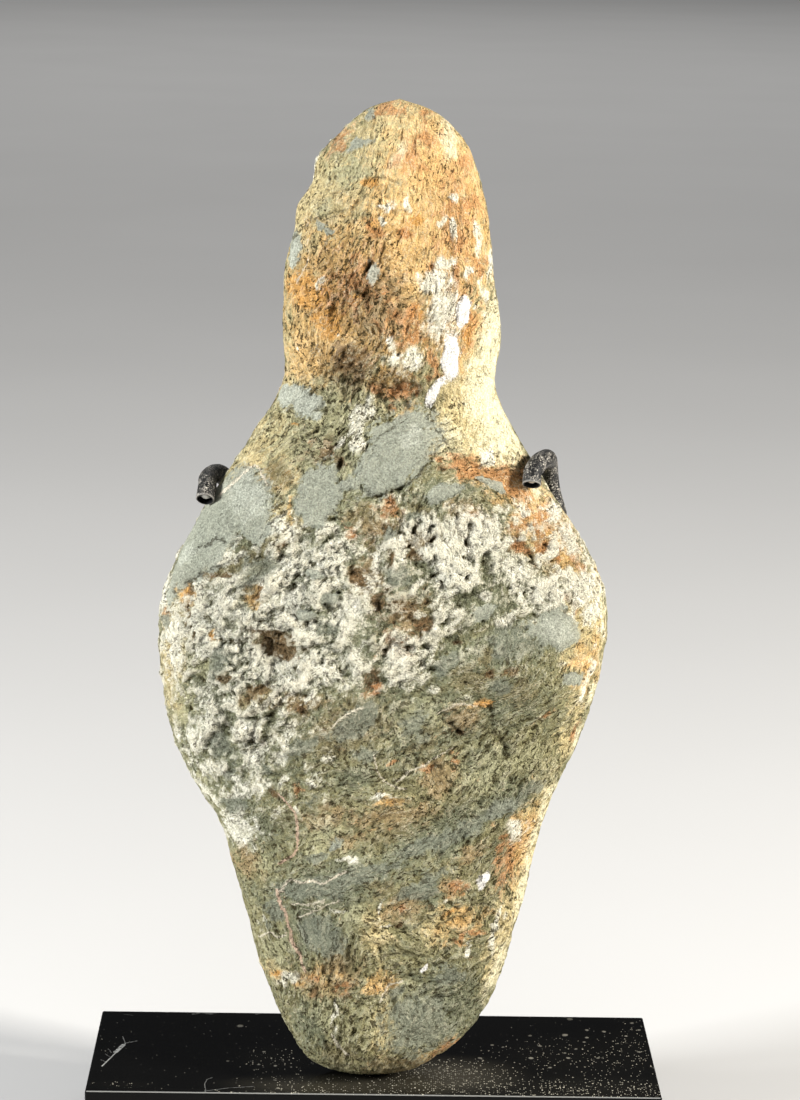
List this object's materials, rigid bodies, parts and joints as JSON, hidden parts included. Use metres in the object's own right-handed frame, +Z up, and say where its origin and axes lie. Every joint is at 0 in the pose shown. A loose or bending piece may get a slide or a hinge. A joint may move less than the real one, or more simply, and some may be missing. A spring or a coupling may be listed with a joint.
{
  "type": "stone anthropomorphic figure",
  "caption": "Weathered stone idol with a tall domed head, sloping shoulders and tapered body, standing on a black base and held by sleeved wire hooks.",
  "frame": {"origin": "centre of the base's underside, on the surface it stands on", "axes": "+Z up, -Y towards the stone's front face, +X to the viewer's right"},
  "size_m": [0.14, 0.0515, 0.2559],
  "materials": {
    "weathered_stone": "rough weathered breccia, grey-green with ochre, rust and white crust",
    "black_acrylic": "polished black, dusty and scratched",
    "black_steel": "satin black paint",
    "shrink_tubing": "wrinkled black shrink tubing with dust"
  },
  "bodies": {
    "root": {"stone_figure": "weathered_stone", "stand_base": "black_acrylic", "stand_post": "black_steel", "cradle_wire": "black_steel", "sleeve_left": "shrink_tubing", "sleeve_right": "shrink_tubing"}
  },
  "joints": []
}
